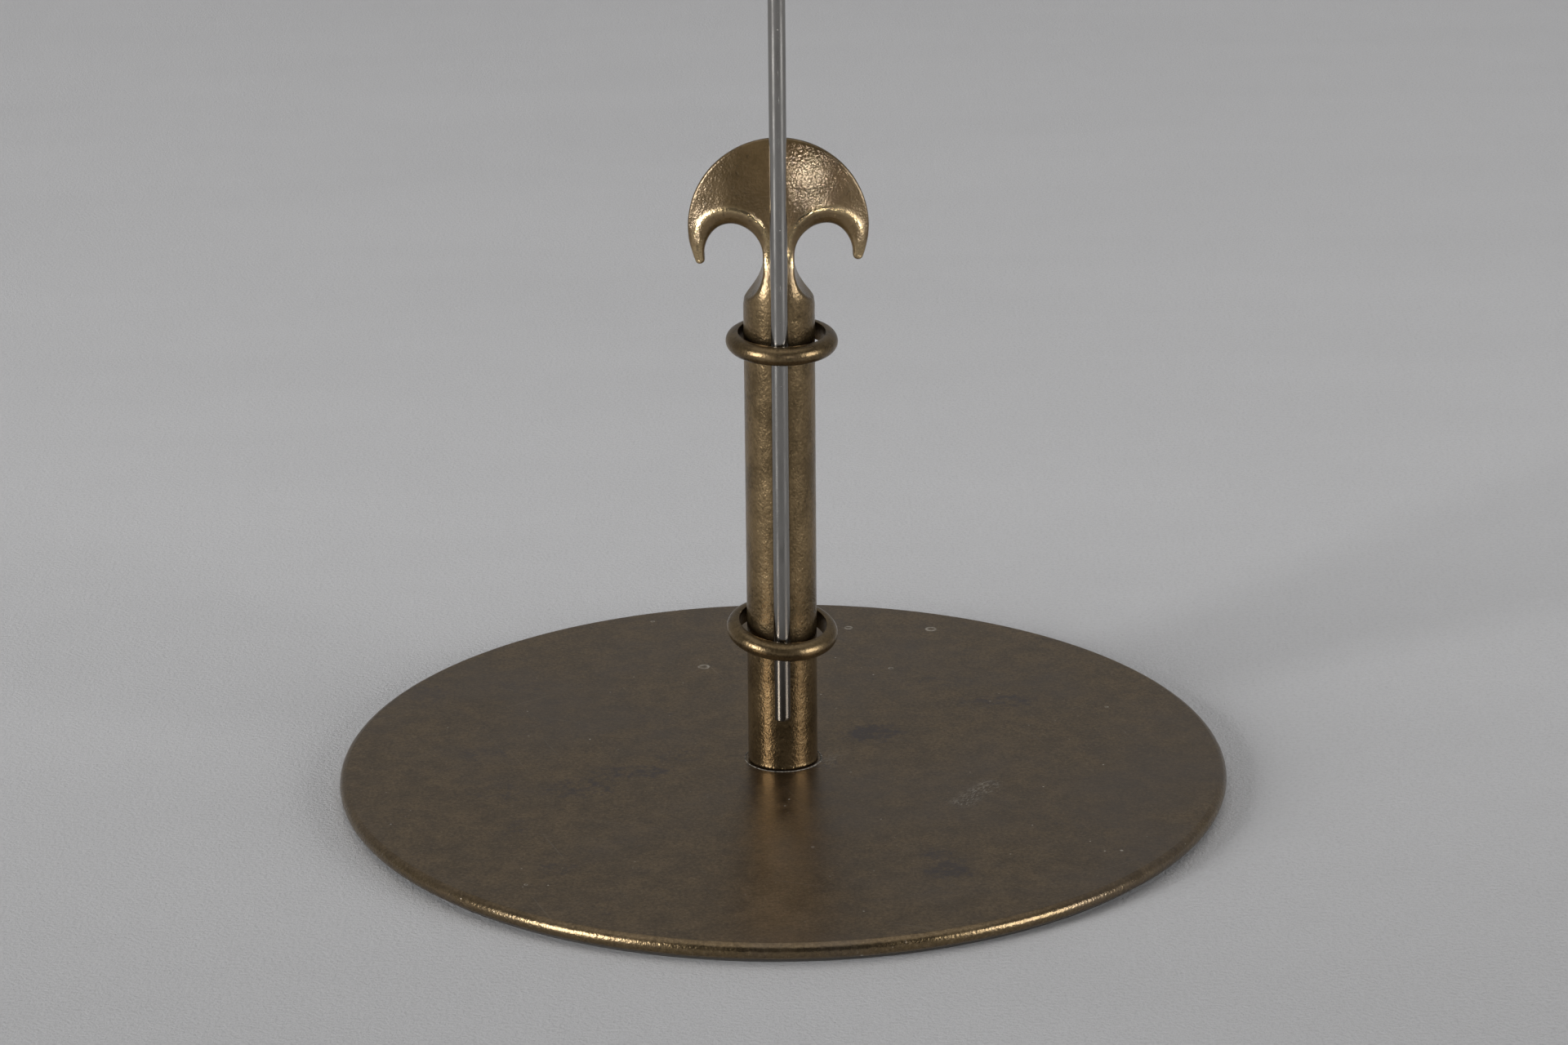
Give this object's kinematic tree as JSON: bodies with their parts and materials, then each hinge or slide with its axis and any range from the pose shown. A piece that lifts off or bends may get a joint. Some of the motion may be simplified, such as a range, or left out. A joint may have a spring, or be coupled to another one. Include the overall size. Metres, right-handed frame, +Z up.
{
  "type": "floor lamp",
  "caption": "Floor lamp with a round metal base, a bronze post ending in a crescent, a thin steel rod held to the post by tilted jam rings, and a shaded lampholder on the rod.",
  "frame": {"origin": "on the floor, under the middle of the base disc", "axes": "+Z up along the post, -Y to the front, where the rod stands, +X to the right as seen from the front"},
  "size_m": [0.32, 0.32, 1.4394],
  "materials": {
    "patinated_bronze": "satin, brown patina with gold showing at worn edges",
    "dark_plate": "dark bronzed plate, semi-matt, lightly stained and scuffed",
    "satin_steel": "drawn bar, satin grey",
    "aged_brass": "satin, slightly aged",
    "felt": "dense dark felt",
    "porcelain": "glazed off-white",
    "black_plastic": "moulded, semi-matt",
    "parchment": "matt parchment with fine fibres",
    "opal_glass": "opal white, glossy"
  },
  "bodies": {
    "base": {"base_disc": "dark_plate", "felt_pad": "felt", "post_bolt": "satin_steel", "post": "patinated_bronze"},
    "upper_ring": {"upper_ring": "patinated_bronze"},
    "lower_ring": {"lower_ring": "patinated_bronze"},
    "rod": {"rod": "satin_steel"},
    "head": {"rod_socket": "patinated_bronze", "socket_grub_screw": "satin_steel", "socket_nipple": "aged_brass", "nipple_nut": "satin_steel", "lampholder_cup": "aged_brass", "cord_gland": "black_plastic", "lampholder_core": "porcelain", "centre_contact": "aged_brass", "screw_shell": "aged_brass", "lampholder_sleeve": "aged_brass", "shade_nut": "aged_brass", "shade_carrier": "aged_brass", "shade_top_ring": "aged_brass", "shade": "parchment", "bulb_cap": "aged_brass", "bulb_glass": "opal_glass"},
    "switch_bar": {"switch_bar": "black_plastic"}
  },
  "joints": [
    {"name": "rod_slide", "type": "slide", "parent": "base", "child": "rod", "axis": [0, 0, 1], "range_m": [0, 0.02]},
    {"name": "upper_ring_slide", "type": "slide", "parent": "base", "child": "upper_ring", "axis": [0, 0, 1], "range_m": [-0.045, 0.01]},
    {"name": "lower_ring_slide", "type": "slide", "parent": "base", "child": "lower_ring", "axis": [0, 0, 1], "range_m": [-0.004, 0.045]},
    {"name": "head_turn", "type": "hinge", "parent": "rod", "child": "head", "pos_m": [0, -0.01415, 1.2285], "axis": [0, 0, 1], "range_deg": [-170, 170]},
    {"name": "switch_push", "type": "slide", "parent": "head", "child": "switch_bar", "axis": [1, 0, 0], "range_m": [0, 0.005]}
  ]
}
